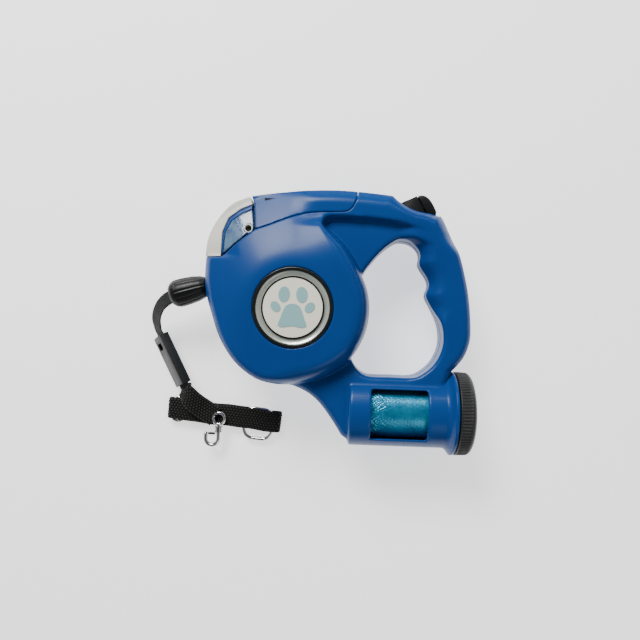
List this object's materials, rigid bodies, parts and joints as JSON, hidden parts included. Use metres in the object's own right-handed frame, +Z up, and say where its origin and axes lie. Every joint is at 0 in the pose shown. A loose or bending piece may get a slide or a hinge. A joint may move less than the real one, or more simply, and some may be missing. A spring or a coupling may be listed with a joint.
{
  "type": "retractable leash",
  "caption": "Hand-held retractable tape leash with a round reel housing, D-grip, thumb brake, torch, bag dispenser tube and a collar on its lead.",
  "frame": {"origin": "on the reel's axis, in the flat rear face that the leash lies on", "axes": "+X from the reel towards the handle, along the bag tube; +Z up through the thickness of the casing; +Y from the bag tube towards the thumb buttons"},
  "size_m": [0.2264, 0.1788, 0.0565],
  "materials": {
    "blue_casing": "glossy moulded ABS",
    "black_plastic": "satin",
    "black_gloss": "glossy",
    "dark_cap": "fine ribbed, satin",
    "cream": "pearl",
    "teal_inlay": "printed, satin",
    "frosted": "frosted",
    "clear_lens": "clear, polished",
    "chrome": "polished",
    "steel": "plated",
    "spring_steel": "blued",
    "brass": "turned",
    "white_plastic": "moulded acetal",
    "led": "clear epoxy",
    "board": "solder resist",
    "dark_screw": "black zinc",
    "cell_jacket": "printed jacket",
    "card": "wound cardboard",
    "film": "crinkled film",
    "tape": "fine woven tape",
    "webbing": "coarse woven webbing"
  },
  "bodies": {
    "casing": {"front_casing": "blue_casing", "rear_casing": "blue_casing", "casing_screws": "steel", "axle_pin": "steel", "tape_guide": "black_plastic", "medallion_ring": "black_gloss", "medallion_cup": "cream", "medallion_line": "black_gloss", "medallion_disc": "cream", "paw_inlay": "teal_inlay", "rear_badge_ring": "black_gloss", "rear_badge": "cream", "torch_housing": "blue_casing", "torch_diffuser": "frosted", "torch_window_front": "clear_lens", "torch_window_rear": "clear_lens", "torch_reflector": "chrome", "torch_leds": "led", "torch_board": "board", "torch_screw": "dark_screw", "battery_tray": "black_plastic", "batteries": "cell_jacket", "battery_contacts": "steel", "brake_spring": "steel", "roll_peg": "black_plastic"},
    "torch_button": {"torch_switch": "black_plastic"},
    "cover": {"battery_cover": "blue_casing"},
    "reel": {"reel_hub": "white_plastic", "reel_bush": "brass", "ratchet_flange": "white_plastic", "rear_flange": "white_plastic", "wound_tape": "tape", "spring_barrel": "white_plastic", "spring_lid": "steel", "mainspring": "spring_steel"},
    "brake": {"brake_button": "black_plastic"},
    "lock": {"lock_button": "black_plastic"},
    "pawl": {"brake_pawl": "white_plastic"},
    "lead": {"tape_run": "tape", "lead_tape": "tape", "tape_stopper": "black_plastic", "joiner_box": "dark_cap", "joiner_tongue": "webbing", "lead_webbing": "webbing", "collar_band": "webbing", "d_ring": "chrome", "oval_ring": "chrome", "hook_eye": "chrome"},
    "hook": {"hook_body": "chrome"},
    "gate": {"hook_gate": "chrome"},
    "plug": {"cap_plug": "black_plastic"},
    "cap": {"bag_cap": "dark_cap"},
    "bag_roll": {"roll_core": "card", "bag_film": "film"}
  },
  "joints": [
    {"name": "lead_pull", "type": "slide", "parent": "casing", "child": "lead", "axis": [-0.9537, -0.3007, 0], "range_m": [0, 0.04], "stiffness_N_per_m": 20, "springref_m": -0.1},
    {"name": "reel_spin", "type": "hinge", "parent": "casing", "child": "reel", "pos_m": [0, 0, 0.028], "axis": [0, 0, 1], "range_deg": [0, 72.5]},
    {"name": "brake_press", "type": "slide", "parent": "casing", "child": "brake", "axis": [0.522, -0.853, 0], "range_m": [0, 0.004], "stiffness_N_per_m": 300, "deforming": ["brake_spring"]},
    {"name": "pawl_slide", "type": "slide", "parent": "casing", "child": "pawl", "axis": [-0.779, -0.627, 0], "range_m": [0, 0.003]},
    {"name": "lock_press", "type": "slide", "parent": "casing", "child": "lock", "axis": [0.522, -0.853, 0], "range_m": [0, 0.0025], "stiffness_N_per_m": 300},
    {"name": "torch_press", "type": "slide", "parent": "casing", "child": "torch_button", "axis": [0, -1, 0], "range_m": [0, 0.0008], "stiffness_N_per_m": 500},
    {"name": "cover_lift", "type": "slide", "parent": "casing", "child": "cover", "axis": [0, 1, 0], "range_m": [0, 0.025]},
    {"name": "cap_pull", "type": "slide", "parent": "casing", "child": "plug", "axis": [1, 0, 0], "range_m": [0, 0.03]},
    {"name": "cap_turn", "type": "hinge", "parent": "plug", "child": "cap", "pos_m": [0.113, -0.0668, 0.028], "axis": [1, 0, 0], "continuous": true},
    {"name": "roll_turn", "type": "hinge", "parent": "casing", "child": "bag_roll", "pos_m": [0.07, -0.0668, 0.028], "axis": [1, 0, 0], "continuous": true},
    {"name": "hook_swivel", "type": "hinge", "parent": "lead", "child": "hook", "pos_m": [-0.055, -0.0855, 0.0088], "axis": [0, 1, 0], "continuous": true},
    {"name": "gate_swing", "type": "hinge", "parent": "hook", "child": "gate", "pos_m": [-0.0577, -0.0901, 0.0088], "axis": [0, 0, 1], "range_deg": [0, 30], "stiffness_Nm_per_rad": 0.01}
  ],
  "couplings": [
    {"joint": "reel_spin", "follows": "lead_pull", "rad_per_m": 31.416},
    {"joint": "pawl_slide", "follows": "brake_press", "ratio": 0.75}
  ]
}
